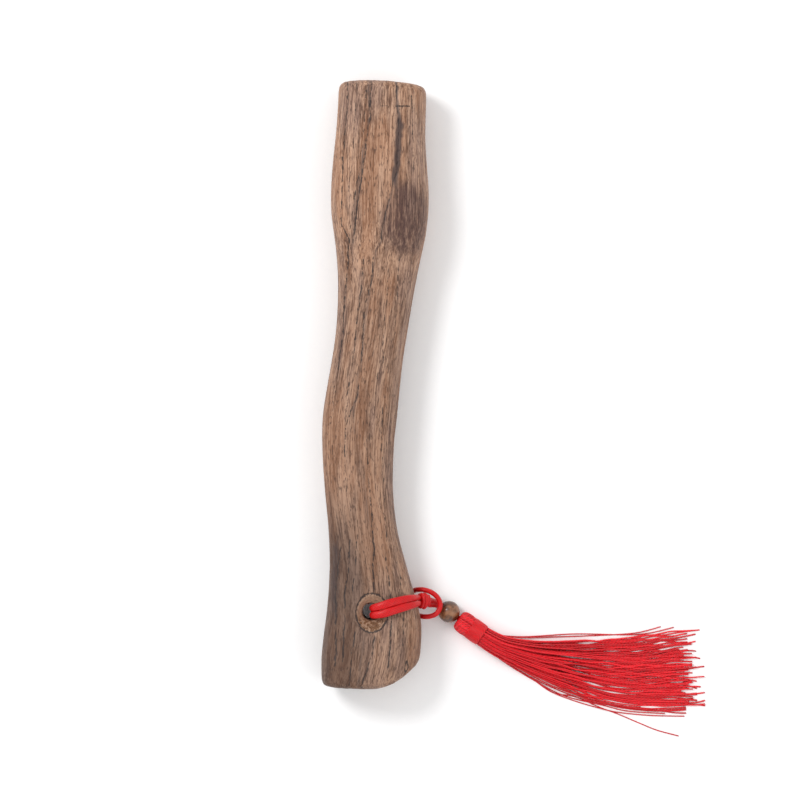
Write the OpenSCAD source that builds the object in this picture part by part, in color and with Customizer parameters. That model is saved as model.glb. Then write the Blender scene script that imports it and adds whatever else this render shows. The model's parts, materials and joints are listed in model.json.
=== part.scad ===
// Short carved hardwood baton with a cord lanyard, a bead and a silk tassel.
// It lies on its back on z = 0: +Y runs from the butt to the head, +X is its right edge, +Z is its front.
// The origin is under the middle of the wooden body.

/* [Baton] */
// Length of the wooden body
baton_length = 290; // [284:1:296]
// Width across the outermost points of the carved edges
blank_w = 51.6; // [50:0.2:53]
// Thickness of the wood at the head
blank_t = 38.4; // [37.6:0.2:40]
// Squareness of the rounded cross-section: 2 is an ellipse, more is boxier
squareness = 2.6; // [2.4:0.1:3]
// Radius that eases the rim of the butt
butt_ease = 2.4; // [1.5:0.1:3.5]
// Radius that eases the rim of the head
head_ease = 3.6; // [2:0.1:4.5]

/* [Cord hole] */
// Diameter of the drilled hole
hole_d = 8; // [8:0.1:8.6]
// Diameter of the countersink on the front
front_sink_d = 17; // [14:0.5:18]
// Diameter of the countersink on the back
back_sink_d = 12; // [10.5:0.5:13]

/* [Lanyard] */
// Diameter of the satin cord
cord_d = 2.4; // [2.2:0.1:2.4]
// Width of the wrapped knot across the two strands
knot_w = 7.4; // [6.4:0.1:7.6]
// Length of the wrapped knot along the strands
knot_length = 4.6; // [4:0.1:4.8]
// Diameter of the bead
bead_d = 10.4; // [10:0.1:10.6]
// Diameter of the hole through the bead
bead_hole_d = 3.4; // [3.2:0.1:3.8]

/* [Tassel] */
// Diameter of the folded yarn head
tassel_head_d = 10.4; // [9.6:0.1:10.8]
// Length of the folded yarn head above the binding
tassel_head_length = 6.6; // [6:0.1:7.5]
// Outside diameter of the wound binding
binding_d = 11; // [10.8:0.1:11.4]
// Length of the wound binding
binding_length = 7.2; // [5:0.1:8]
// Width of the fan of yarn at its tips
fan_w = 43; // [36:1:48]

/* [Hidden] */
$fn = 72;

WOOD = "#8a6b52";
CORD = "#cf1f2d";
YARN = "#dd2431";
BEAD = "#7d5c3b";

// ---- the carved body ----
// One row per station: distance from the butt, left edge, right edge, back and front, for a blank of this size
CARVED_LENGTH = 290;
CARVED_W = 51.6;
CARVED_T = 38.4;
STATIONS = [
    [  0, -25.4, 21.4, -0.5, 33.6],
    [ 12, -25.8, 22.2, -0.7, 34.4],
    [ 24, -24.6, 22.0,  1.2, 34.2],
    [ 38, -22.8, 19.8,  3.4, 32.9],
    [ 55, -21.7, 15.8,  4.6, 32.2],
    [ 75, -22.2, 10.8,  5.2, 31.8],
    [ 95, -24.0,  8.6,  5.4, 32.0],
    [115, -25.2,  9.0,  5.4, 32.4],
    [130, -24.9, 10.6,  5.2, 32.6],
    [145, -22.7, 12.0,  4.8, 32.6],
    [160, -20.1, 13.8,  4.2, 32.6],
    [175, -18.3, 16.3,  3.2, 32.8],
    [190, -17.7, 18.8,  1.8, 33.4],
    [204, -18.1, 21.6,  0.2, 35.0],
    [215, -19.3, 24.0, -0.6, 37.2],
    [226, -20.8, 25.5, -0.8, 38.2],
    [236, -21.0, 25.8, -0.8, 38.4],
    [250, -20.2, 24.9, -0.8, 38.2],
    [265, -18.7, 24.1, -0.5, 37.6],
    [280, -17.7, 24.4,  0.4, 36.6],
    [290, -17.3, 24.6,  1.0, 36.0]
];
SIDES = 48;
RING_STEP = 5.2;
END_ARC_STEP = 22.5;
CAP_SHRINKS = [0.68, 0.36];
// The butt is cut on a curve that runs back on the right, the head on a flatter one
BUTT_CREST_X = -2;
BUTT_BOW_RIGHT = 0.0235;
BUTT_BOW_LEFT = 0.002;
HEAD_CREST_X = -8;
HEAD_BOW = 0.0025;
BOW_FADE = 60;

function mix(a, b, u) = a + (b - a) * u;

// Cubic through the stations, so that the edges run smoothly from one to the next
function station_slope(i, c) =
    let (a = STATIONS[max(i - 1, 0)], b = STATIONS[min(i + 1, len(STATIONS) - 1)])
    (b[c] - a[c]) / (b[0] - a[0]);
function station_before(s) = max([for (i = [0 : len(STATIONS) - 2]) if (STATIONS[i][0] <= s + 0.001) i]);
function station_value(s, c) =
    let (i = station_before(s), h = STATIONS[i + 1][0] - STATIONS[i][0], u = (s - STATIONS[i][0]) / h)
    STATIONS[i][c] * (2 * u^3 - 3 * u^2 + 1) + h * station_slope(i, c) * (u^3 - 2 * u^2 + u)
    + STATIONS[i + 1][c] * (3 * u^2 - 2 * u^3) + h * station_slope(i + 1, c) * (u^3 - u^2);

function rim_inset(gap, ease) = gap >= ease ? 0 : ease - sqrt(ease^2 - (ease - gap)^2);
function butt_bow(x) = (x > BUTT_CREST_X ? BUTT_BOW_RIGHT : BUTT_BOW_LEFT) * (x - BUTT_CREST_X)^2;
function head_bow(x) = HEAD_BOW * (x - HEAD_CREST_X)^2;
function signed_power(v, p) = sign(v) * pow(abs(v), p);

// One ring of the body: s is measured from the butt, shrink draws it in towards the middle of an end
function body_ring(s, shrink) =
    let (
        along = s * CARVED_LENGTH / baton_length,
        w = blank_w / CARVED_W,
        t = blank_t / CARVED_T,
        left = station_value(along, 1) * w,
        right = station_value(along, 2) * w,
        back = station_value(along, 3) * t,
        front = station_value(along, 4) * t,
        inset = max(rim_inset(s, butt_ease), rim_inset(baton_length - s, head_ease)),
        half_w = ((right - left) / 2 - inset) * shrink,
        half_t = ((front - back) / 2 - inset) * shrink,
        to_butt = max(0, 1 - s / BOW_FADE),
        to_head = max(0, 1 - (baton_length - s) / BOW_FADE)
    )
    [for (i = [0 : SIDES - 1])
        let (
            a = (i + 0.5) * 360 / SIDES,
            x = (left + right) / 2 + half_w * signed_power(cos(a), 2 / squareness),
            z = (back + front) / 2 + half_t * signed_power(sin(a), 2 / squareness)
        )
        [x, s - baton_length / 2 + to_butt * butt_bow(x) - to_head * head_bow(x), max(z, 0)]];

// The rings' places: an arc over each eased rim, then even steps along the body
function body_stations() =
    let (steps = ceil((baton_length - butt_ease - head_ease) / RING_STEP))
    concat(
        [for (a = [0 : END_ARC_STEP : 90 - END_ARC_STEP]) butt_ease * (1 - cos(a))],
        [for (i = [0 : steps]) mix(butt_ease, baton_length - head_ease, i / steps)],
        [for (a = [END_ARC_STEP : END_ARC_STEP : 90]) baton_length - head_ease * (1 - sin(a))]);

function mean(points) = [for (c = [0 : 2]) let (v = [for (p = points) p[c]]) (min(v) + max(v)) / 2];

// Skins a stack of equal rings into triangles, each end closed by a fan to its middle point
module skin(rings) {
    n = len(rings[0]);
    last = len(rings) - 1;
    points = concat([for (r = rings) for (p = r) p], [mean(rings[0]), mean(rings[last])]);
    walls = [for (j = [0 : last - 1]) for (i = [0 : n - 1])
        let (a = j * n + i, b = j * n + (i + 1) % n)
        each [[a, b, a + n], [b, b + n, a + n]]];
    caps = [for (i = [0 : n - 1])
        let (k = (i + 1) % n)
        each [[k, i, len(points) - 2], [last * n + i, last * n + k, len(points) - 1]]];
    polyhedron(points, concat(walls, caps));
}

module carved_blank() {
    butt_cap = [for (k = [len(CAP_SHRINKS) - 1 : -1 : 0]) body_ring(0, CAP_SHRINKS[k])];
    head_cap = [for (k = CAP_SHRINKS) body_ring(baton_length, k)];
    skin(concat(butt_cap, [for (s = body_stations()) body_ring(s, 1)], head_cap));
}

// ---- the cord hole ----
HOLE_FROM_BUTT = 37;
HOLE_X = -2;
HOLE_Y = HOLE_FROM_BUTT - baton_length / 2;
HOLE_FRONT_Z = 32.9 * blank_t / CARVED_T;
HOLE_BACK_Z = 3.4 * blank_t / CARVED_T;
SINK_OVERRUN = 3;

module cord_hole() {
    translate([HOLE_X, HOLE_Y, -1])
        cylinder(d = hole_d, h = blank_t + 2);
    front_depth = (front_sink_d - hole_d) / 2;
    translate([HOLE_X, HOLE_Y, HOLE_FRONT_Z - front_depth])
        cylinder(d1 = hole_d, d2 = front_sink_d + 2 * SINK_OVERRUN, h = front_depth + SINK_OVERRUN);
    back_depth = (back_sink_d - hole_d) / 2;
    translate([HOLE_X, HOLE_Y, HOLE_BACK_Z - SINK_OVERRUN])
        cylinder(d1 = back_sink_d + 2 * SINK_OVERRUN, d2 = hole_d, h = back_depth + SINK_OVERRUN);
}

module baton_body() {
    color(WOOD)
        difference() {
            carved_blank();
            cord_hole();
        }
}

// ---- swept cord ----
CORD_SIDES = 8;

// A smooth curve through hand-set route points
function route_point(route, t) =
    let (
        last = len(route) - 1,
        i = min(floor(t), last - 1),
        u = t - i,
        p0 = route[max(i - 1, 0)],
        p1 = route[i],
        p2 = route[i + 1],
        p3 = route[min(i + 2, last)]
    )
    0.5 * (2 * p1 + (p2 - p0) * u + (2 * p0 - 5 * p1 + 4 * p2 - p3) * u^2 + (3 * p1 - p0 - 3 * p2 + p3) * u^3);
function route_curve(route, rings) =
    [for (i = [0 : rings - 1]) route_point(route, i * (len(route) - 1) / (rings - 1))];
function unit(v) = v / norm(v);
function tangent(p, i) = unit(p[min(i + 1, len(p) - 1)] - p[max(i - 1, 0)]);
function square_to(v, t) = unit(v - (v * t) * t);

// Rings square to the curve, each turned as little as possible from the one before
function cord_rings(p, radius, sides) =
    [for (i = 0, t = tangent(p, 0), side = square_to([0.02, 1, 0.03], t); i < len(p);
          i = i + 1, t = i < len(p) ? tangent(p, i) : t, side = square_to(side, t))
        [for (k = [sides - 1 : -1 : 0])
            let (a = k * 360 / sides)
            p[i] + radius * (cos(a) * side + sin(a) * cross(t, side))]];

module cord(route, rings) {
    skin(cord_rings(route_curve(route, rings), cord_d / 2, CORD_SIDES));
}

// ---- the lanyard's routes, measured from the hole's axis across and along, and from the table up ----
HOLE = [HOLE_X, HOLE_Y, 0];
function from_hole(route) = [for (p = route) p + HOLE];

// Out of the back of the hole, under the wood, up its right side, round the standing strands and back
LOOP_ROUTE = from_hole([
    [ 2.4,  1.3, 18.0], [ 2.4,  1.3, 11.0], [ 2.5,  1.3,  5.4], [ 3.8,  1.7,  2.6], [ 7.0,  3.0,  1.8],
    [12.0,  5.3,  2.4], [16.5,  7.5,  4.0], [20.2,  9.1,  7.0], [22.6,  9.8, 10.6], [25.2,  9.8, 12.2],
    [28.6,  8.8, 12.4], [31.4,  6.8, 12.4], [33.0,  4.0, 12.4], [33.0,  1.0, 12.4], [31.2, -1.8, 12.4],
    [28.0, -3.0, 12.3], [25.4, -3.1, 11.8], [23.6, -2.9,  9.4], [20.6, -2.6,  5.8], [16.8, -2.3,  3.4],
    [12.0, -2.0,  2.2], [ 7.0, -1.6,  1.8], [ 3.8, -1.3,  2.6], [ 2.5, -1.3,  5.4], [ 2.4, -1.3, 11.0],
    [ 2.4, -1.3, 18.0]
]);
LOOP_RINGS = 44;

// Out of the front of the hole, over the countersink and the rounded edge, to the knot
FRONT_ROUTE_UPPER = from_hole([
    [ 2.4,  1.3, 18.0], [ 2.4,  1.3, 24.0], [ 2.5,  1.3, 28.4], [ 3.2,  1.6, 31.2], [ 5.2,  2.4, 33.4],
    [ 8.2,  3.6, 34.5], [12.0,  4.7, 34.0], [16.6,  5.7, 31.4], [20.4,  6.3, 27.6], [22.4,  6.4, 23.2],
    [23.6,  6.0, 17.6]
]);
FRONT_ROUTE_LOWER = from_hole([
    [ 2.4, -1.3, 18.0], [ 2.4, -1.3, 24.0], [ 2.5, -1.3, 28.4], [ 3.2, -1.3, 31.2], [ 5.2, -0.9, 33.4],
    [ 8.2,  0.2, 34.5], [12.0,  1.4, 34.2], [16.8,  2.6, 31.8], [20.9,  3.4, 28.0], [22.9,  3.7, 23.4],
    [23.6,  3.9, 17.6]
]);
FRONT_RINGS = 14;

// The knot's middle and the way the strands run through it
KNOT_AT = [25.2, 4.6, 16.0] + HOLE;
KNOT_WAY = unit([2.9, -0.8, -3.6]);
KNOT_SHOULDER = 1.6;
KNOT_FLAT = 0.74;
KNOT_TAPER = 0.9;
KNOT_SIDES = 16;
KNOT_RINGS = 8;

// Out of the knot, down under the loop and to the bead
TAIL_ROUTE_UPPER = from_hole([
    [27.7,  5.0, 12.4], [29.1,  4.6, 10.2], [30.6,  4.0, 8.4], [31.8, 3.4, 7.2], [32.9, 2.8, 6.6]
]);
TAIL_ROUTE_LOWER = from_hole([
    [27.5,  2.7, 12.4], [28.7,  2.5, 10.2], [30.0,  2.4, 8.4], [31.2, 2.2, 7.2], [32.3, 1.9, 6.6]
]);
TAIL_RINGS = 7;

// The bead rests on the table, and its hole follows the cord
BEAD_AT = [37.5, -1.0, bead_d / 2 + 0.1] + HOLE;
BEAD_WAY = unit([0.80, -0.55, -0.20]);
CORE_CLEARANCE = 0.08;
CORE_BEFORE = 6.4;
CORE_AFTER = 4.7;

module lanyard_loop() {
    color(CORD)
        cord(LOOP_ROUTE, LOOP_RINGS);
}

module lanyard_front() {
    color(CORD) {
        cord(FRONT_ROUTE_UPPER, FRONT_RINGS);
        cord(FRONT_ROUTE_LOWER, FRONT_RINGS);
    }
}

// Turns +Z onto a direction
module aimed(way) {
    rotate([0, acos(way[2]), atan2(way[1], way[0])])
        children();
}

// The knot is a short barrel, widest in the middle and closing on the two strands at its ends
function knot_rings() =
    let (
        across = square_to([0, 1, 0], KNOT_WAY),
        through = cross(KNOT_WAY, across),
        shoulder = KNOT_SHOULDER / knot_w
    )
    [for (j = [0 : KNOT_RINGS])
        let (
            u = 2 * j / KNOT_RINGS - 1,
            bulge = shoulder + (1 - shoulder) * sqrt(1 - KNOT_TAPER * abs(u)^3),
            middle = KNOT_AT + KNOT_WAY * u * knot_length / 2
        )
        [for (k = [KNOT_SIDES - 1 : -1 : 0])
            let (a = k * 360 / KNOT_SIDES)
            middle + bulge * knot_w / 2 * (cos(a) * across + KNOT_FLAT * sin(a) * through)]];

module lanyard_knot() {
    color(CORD)
        skin(knot_rings());
}

module lanyard_tail() {
    color(CORD) {
        cord(TAIL_ROUTE_UPPER, TAIL_RINGS);
        cord(TAIL_ROUTE_LOWER, TAIL_RINGS);
        translate(BEAD_AT)
            aimed(BEAD_WAY)
                translate([0, 0, -CORE_BEFORE])
                    cylinder(d = bead_hole_d - 2 * CORE_CLEARANCE, h = CORE_BEFORE + CORE_AFTER);
    }
}

module bead() {
    color(BEAD)
        translate(BEAD_AT)
            aimed(BEAD_WAY)
                difference() {
                    sphere(d = bead_d);
                    cylinder(d = bead_hole_d, h = bead_d + 1, center = true);
                }
}

// ---- the tassel ----
TASSEL_BEARING = -36;
TASSEL_WAY = [cos(TASSEL_BEARING), sin(TASSEL_BEARING), 0];
TABLE_GAP = 0.1;
TASSEL_Z = binding_d / 2 + TABLE_GAP;
BEAD_TO_HEAD = bead_d / 2 + 0.7;
HEAD_AT = [BEAD_AT[0], BEAD_AT[1], TASSEL_Z] + TASSEL_WAY * BEAD_TO_HEAD;
HEAD_MOUTH_R = 1.5;
HEAD_CROWN_R = 3.6;
HEAD_EASE = 0.4;
NECK_R = binding_d / 2 - 0.6;
POCKET_R = 2.4;
POCKET_DEPTH = 4.2;
STUB_R = 1.3;
STUB_RISE = 0.3;
FIT = 0.05;

module along_tassel(depth) {
    translate(HEAD_AT + TASSEL_WAY * depth)
        aimed(TASSEL_WAY)
            children();
}

// The yarn folds over the stopper knot: a crown, then a neck that runs under the binding
function head_profile() =
    let (
        crown_r = HEAD_MOUTH_R + HEAD_EASE,
        head_r = tassel_head_d / 2,
        neck_end = tassel_head_length + binding_length
    )
    concat(
        [[HEAD_MOUTH_R, 0]],
        [for (a = [0 : 15 : 90]) [crown_r + (head_r - crown_r) * sin(a), HEAD_CROWN_R * (1 - cos(a))]],
        [[head_r, tassel_head_length - HEAD_EASE], [NECK_R, tassel_head_length], [NECK_R, neck_end],
         [0, neck_end], [0, POCKET_DEPTH], [HEAD_MOUTH_R, POCKET_DEPTH]]);

module tassel_head() {
    color(YARN)
        along_tassel(0)
            difference() {
                rotate_extrude()
                    polygon(head_profile());
                translate([0, 0, POCKET_DEPTH])
                    sphere(r = POCKET_R + FIT);
            }
}

// The knot that keeps the head on the cord, with the cord that comes up to the bead
module stopper_knot() {
    color(CORD)
        along_tassel(0) {
            translate([0, 0, POCKET_DEPTH])
                sphere(r = POCKET_R);
            translate([0, 0, -STUB_RISE])
                cylinder(r = STUB_R, h = POCKET_DEPTH + STUB_RISE);
        }
}

BINDING_EASE = 0.35;
module tassel_binding() {
    color(CORD)
        along_tassel(tassel_head_length)
            rotate_extrude()
                polygon([
                    [NECK_R, 0],
                    [binding_d / 2 - BINDING_EASE, 0],
                    [binding_d / 2, BINDING_EASE],
                    [binding_d / 2, binding_length - BINDING_EASE],
                    [binding_d / 2 - BINDING_EASE, binding_length],
                    [NECK_R, binding_length]]);
}

// The fan of yarn: where its middle runs on the table, its half width and its height, from the binding out
SKIRT_START = HEAD_AT + TASSEL_WAY * (tassel_head_length + binding_length);
SKIRT_ROUTE = [
    [0, 0], [7, -4.6], [14.4, -8.4], [27, -12.4], [41, -15.4], [56, -16.8], [72, -17.6], [88, -17.4],
    [102, -17.0]
];
SKIRT_HALF_W = [0.235, 0.28, 0.37, 0.52, 0.68, 0.80, 0.88, 0.95, 1.0];
SKIRT_HEIGHT = [10.4, 10.0, 9.0, 7.6, 6.4, 5.4, 4.8, 4.4, 4.0];
SKIRT_SIDES = 24;
SKIRT_SPLIT = 3;
SKIRT_AIM_STEP = 0.05;
// The yarn lies looser where it has spread out, so it rests a little higher on the table
SKIRT_LOFT = 0.02;

function skirt_middle(t) =
    let (p = route_point(SKIRT_ROUTE, t))
    [SKIRT_START[0] + p[0], SKIRT_START[1] + p[1], 0];
function skirt_way(t) =
    let (ahead = min(t + SKIRT_AIM_STEP, len(SKIRT_ROUTE) - 1))
    t < SKIRT_AIM_STEP ? TASSEL_WAY : unit(skirt_middle(ahead) - skirt_middle(t - SKIRT_AIM_STEP));
function skirt_ring(t) =
    let (
        way = skirt_way(t),
        side = [-way[1], way[0], 0],
        half_w = route_point(SKIRT_HALF_W, t) * fan_w / 2,
        height = route_point(SKIRT_HEIGHT, t),
        base = TABLE_GAP + (SKIRT_HEIGHT[0] - height) * SKIRT_LOFT
    )
    [for (k = [0 : SKIRT_SIDES - 1])
        let (a = k * 360 / SKIRT_SIDES)
        skirt_middle(t) + side * half_w * cos(a) + [0, 0, base + height / 2 * (1 - sin(a))]];

module tassel_skirt() {
    last = len(SKIRT_ROUTE) - 1;
    color(YARN)
        skin([for (i = [0 : last * SKIRT_SPLIT]) skirt_ring(i / SKIRT_SPLIT)]);
}

baton_body();
lanyard_loop();
lanyard_front();
lanyard_knot();
lanyard_tail();
bead();
tassel_head();
tassel_binding();
tassel_skirt();
stopper_knot();
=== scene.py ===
# %% [markdown]
# # A carved hardwood baton with a cord lanyard, a bead and a silk tassel
# The hard parts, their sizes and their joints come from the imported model. This lesson gives each of them
# its finished shape and surface: worn wood with open grain, satin cord, a polished bead, and a tassel of
# about a hundred yarns.

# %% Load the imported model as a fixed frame
import json
import math

import bpy
import numpy as np
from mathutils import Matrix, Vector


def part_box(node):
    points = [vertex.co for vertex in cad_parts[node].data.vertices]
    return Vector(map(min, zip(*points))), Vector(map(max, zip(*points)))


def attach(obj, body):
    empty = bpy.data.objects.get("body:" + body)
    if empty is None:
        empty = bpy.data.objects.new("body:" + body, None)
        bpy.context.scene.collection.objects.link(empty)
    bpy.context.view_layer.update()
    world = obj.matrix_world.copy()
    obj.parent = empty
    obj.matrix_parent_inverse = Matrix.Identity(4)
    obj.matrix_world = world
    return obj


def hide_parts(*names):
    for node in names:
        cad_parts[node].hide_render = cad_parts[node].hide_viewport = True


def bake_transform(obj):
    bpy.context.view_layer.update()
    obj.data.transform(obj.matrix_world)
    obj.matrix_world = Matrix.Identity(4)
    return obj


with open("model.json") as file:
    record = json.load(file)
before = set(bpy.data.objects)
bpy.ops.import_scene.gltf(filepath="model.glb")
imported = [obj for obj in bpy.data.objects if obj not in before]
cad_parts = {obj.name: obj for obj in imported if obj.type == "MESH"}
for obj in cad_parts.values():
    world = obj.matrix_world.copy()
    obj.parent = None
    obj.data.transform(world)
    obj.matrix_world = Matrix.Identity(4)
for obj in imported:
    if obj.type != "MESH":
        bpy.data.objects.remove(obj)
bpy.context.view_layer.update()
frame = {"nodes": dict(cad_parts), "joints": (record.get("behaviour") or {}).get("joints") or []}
MM = 0.001
joints = {joint["name"]: joint for joint in frame["joints"]}
print("nodes:", sorted(frame["nodes"]), "joints:", sorted(joints))

# %% [markdown]
# A flat piece is shown best from straight above with a long lens, so that its outline isn't distorted. A
# camera with no rotation looks down -Z with +Y at the top, which is that view. Its height follows from the
# width of table that it should take in. Blender's usual view transform, AgX, greys white paper and fades
# a strong red dye; Standard shows both as they are, and soft light keeps anything else from clipping.

# %% Camera
LENS_MM, SENSOR_MM = 240, 36
TABLE_IN_VIEW = 382.4 * MM
VIEW_CENTRE = (11.95 * MM, -7.29 * MM)
SHARP_HEIGHT = 18 * MM

camera_data = bpy.data.cameras.new("camera")
camera_data.lens, camera_data.sensor_width = LENS_MM, SENSOR_MM
camera = bpy.data.objects.new("camera", camera_data)
camera.location = (*VIEW_CENTRE, SHARP_HEIGHT + TABLE_IN_VIEW * LENS_MM / SENSOR_MM)
bpy.context.scene.collection.objects.link(camera)
bpy.context.scene.camera = camera
bpy.context.scene.view_settings.view_transform = "Standard"
print("camera height", round(camera.location.z, 3), "m")

# %% [markdown]
# Cord, yarn and thread are all the same thing to a modeller: a line with a cross-section carried along it.
# The line is given points joined by a smooth curve that passes through each of them.

# %% Smooth lines
def unit(v):
    return v / np.linalg.norm(v, axis=-1, keepdims=True)


def smooth_line(route, count):
    """A smooth curve through given points, with its points spread evenly along it."""
    route = np.asarray(route, float)
    last = len(route) - 1
    t = np.linspace(0, last, 24 * last + 1)
    i = np.minimum(t.astype(int), last - 1)
    u = (t - i)[:, None]
    p0, p1, p2, p3 = route[np.maximum(i - 1, 0)], route[i], route[i + 1], route[np.minimum(i + 2, last)]
    line = 0.5 * (2 * p1 + (p2 - p0) * u + (2 * p0 - 5 * p1 + 4 * p2 - p3) * u**2
                  + (3 * p1 - p0 - 3 * p2 + p3) * u**3)
    run = np.r_[0, np.cumsum(np.linalg.norm(np.diff(line, axis=0), axis=1))]
    even = np.linspace(0, run[-1], count)
    return np.column_stack([np.interp(even, run, line[:, c]) for c in range(3)])


def length_of(line):
    return float(np.linalg.norm(np.diff(line, axis=0), axis=1).sum())


# %% [markdown]
# Blender can bevel a curve, but a bevel is round everywhere. Satin cord flattens where it is pulled over
# an edge, so the tubes here are built ring by ring, with a width and a depth at every point.
# Each tube also gets UVs in which u is the distance along it in millimetres and v goes once round it.

# %% Tubes, ring by ring
def sides_along(line, wide_way=None):
    """At each point, the way the tube is wide: near wide_way if given, else turned as little as possible."""
    along = unit(np.gradient(line, axis=0))
    wide = np.empty_like(line)
    way = np.array([0.02, 1, 0.03] if wide_way is None else wide_way, float)
    for k, t in enumerate(along):
        held = way if wide_way is not None or k == 0 else wide[k - 1]
        wide[k] = unit(held - (held @ t) * t)
    return along, wide


def linked(name, mesh):
    """A smooth-shaded mesh, put in the scene as one piece."""
    mesh.polygons.foreach_set("use_smooth", [True] * len(mesh.polygons))
    piece = bpy.data.objects.new(name, mesh)
    bpy.context.scene.collection.objects.link(piece)
    print(name, len(mesh.polygons), "faces")
    return piece


class Tubes:
    """Gathers tubes, then makes one mesh of them."""

    def __init__(self):
        self.points, self.faces, self.uvs, self.tints, self.count = [], [], [], [], 0

    def add(self, line, width, depth=None, sides=8, wide_way=None, tint=0.5):
        n = len(line)
        along, wide = sides_along(line, wide_way)
        deep = np.cross(along, wide)
        half_w = np.broadcast_to(np.asarray(width, float) / 2, n)
        half_d = half_w if depth is None else np.broadcast_to(np.asarray(depth, float) / 2, n)
        turn = np.arange(sides) * 2 * math.pi / sides
        rings = (line[:, None] + half_w[:, None, None] * np.cos(turn)[None, :, None] * wide[:, None]
                 + half_d[:, None, None] * np.sin(turn)[None, :, None] * deep[:, None])
        run = np.r_[0, np.cumsum(np.linalg.norm(np.diff(line, axis=0), axis=1))] / MM
        j, k = [a.ravel() for a in np.meshgrid(np.arange(n - 1), np.arange(sides), indexing="ij")]
        k2 = (k + 1) % sides
        here, there = self.count + j * sides, self.count + (j + 1) * sides
        self.faces += np.column_stack([here + k, here + k2, there + k2, there + k]).tolist()
        corners = [(run[j], k), (run[j], k + 1), (run[j + 1], k + 1), (run[j + 1], k)]
        self.uvs.append(np.stack([np.column_stack([u, v / sides]) for u, v in corners], 1).reshape(-1, 2))
        for ring, order in ((0, range(sides - 1, -1, -1)), (n - 1, range(sides))):
            self.faces.append([self.count + ring * sides + k for k in order])
            self.uvs.append(np.column_stack([np.full(sides, run[ring]), [k / sides for k in order]]))
        self.points.append(rings.reshape(-1, 3))
        self.tints.append(np.full(n * sides, tint))
        self.count += n * sides

    def mesh(self, name):
        made = bpy.data.meshes.new(name)
        made.from_pydata(np.concatenate(self.points).tolist(), [], self.faces)
        wound = made.uv_layers.new(name="wound")
        wound.data.foreach_set("uv", np.concatenate(self.uvs).ravel().astype(np.float32))
        tint = made.attributes.new("tint", "FLOAT", "POINT")
        tint.data.foreach_set("value", np.concatenate(self.tints).astype(np.float32))
        return linked(name, made)


def hand_over(piece, body, node):
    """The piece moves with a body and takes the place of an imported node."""
    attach(piece, body)
    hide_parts(node)


# %% [markdown]
# The lanyard is one doubled satin cord, tied as a girth hitch. The bight comes out of the back of the hole
# and round the edge, and the two standing strands come out of the front, meet a knot, pass under the
# bight and go into the bead. The hole's place is read from the swing joint, which is a known way from it.

# %% The lanyard's routes
CORD_D = 2.4 * MM
SWING_FROM_HOLE = (28, 3.9, 11)
SWING = np.array(joints["lanyard_swing"]["pos_m"])
HOLE = SWING - np.array(SWING_FROM_HOLE) * MM
BEAD_AT = np.array(joints["bead_spin"]["pos_m"])
BEAD_WAY = unit(np.array(joints["bead_spin"]["axis"]))


def from_hole(route):
    return HOLE + np.array(route, float) * MM


BIGHT = from_hole([
    (2.4, 1.3, 18.0), (2.4, 1.3, 11.0), (2.5, 1.3, 5.4), (3.8, 1.7, 2.6), (7.0, 3.0, 1.8), (12.0, 5.3, 2.4),
    (16.5, 7.5, 4.0), (20.2, 9.1, 7.0), (22.6, 9.8, 10.6), (25.2, 9.8, 12.2), (28.6, 8.8, 12.4),
    (31.4, 6.8, 12.4), (33.0, 4.0, 12.4), (33.0, 1.0, 12.4), (31.2, -1.8, 12.4), (28.0, -3.0, 12.3),
    (25.4, -3.1, 11.8), (23.6, -2.9, 9.4), (20.6, -2.6, 5.8), (16.8, -2.3, 3.4), (12.0, -2.0, 2.2),
    (7.0, -1.6, 1.8), (3.8, -1.3, 2.6), (2.5, -1.3, 5.4), (2.4, -1.3, 11.0), (2.4, -1.3, 18.0)])
UPPER_STRAND = from_hole([
    (2.4, 1.3, 18), (1.5, 1.3, 23), (0.7, 1.4, 27.6), (0.5, 1.6, 31.0), (2.0, 2.0, 33.8), (5.6, 2.9, 35.2),
    (10.6, 4.4, 34.7), (16.6, 5.7, 31.4), (20.4, 6.3, 27.6), (22.4, 6.4, 23.2), (23.6, 6.0, 17.6),
    (27.7, 5.0, 12.4), (29.1, 4.6, 10.2), (30.6, 4.0, 8.4), (31.8, 3.4, 7.2), (32.9, 2.8, 6.6)])
LOWER_STRAND = from_hole([
    (2.4, -1.3, 18), (1.5, -1.3, 23), (0.7, -1.4, 27.6), (0.5, -1.4, 31.0), (2.0, -1.2, 33.8),
    (5.6, -0.6, 35.2), (10.6, 0.9, 34.8), (16.8, 2.6, 31.8), (20.9, 3.4, 28.0), (22.9, 3.7, 23.4),
    (23.6, 3.9, 17.6), (27.5, 2.7, 12.4), (28.7, 2.5, 10.2), (30.0, 2.4, 8.4), (31.2, 2.2, 7.2),
    (32.3, 1.9, 6.6)])
print("hole at", (HOLE / MM).round(1), "mm; bead at", (BEAD_AT / MM).round(1), "mm")

# %% The bight
bight_line = smooth_line(BIGHT, 170)
bight = Tubes()
bight.add(bight_line, CORD_D, sides=16)
lanyard_bight = bight.mesh("lanyard_bight")
hand_over(lanyard_bight, "baton", "lanyard_loop")
print("bight", round(length_of(bight_line) / MM, 1), "mm")
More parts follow.
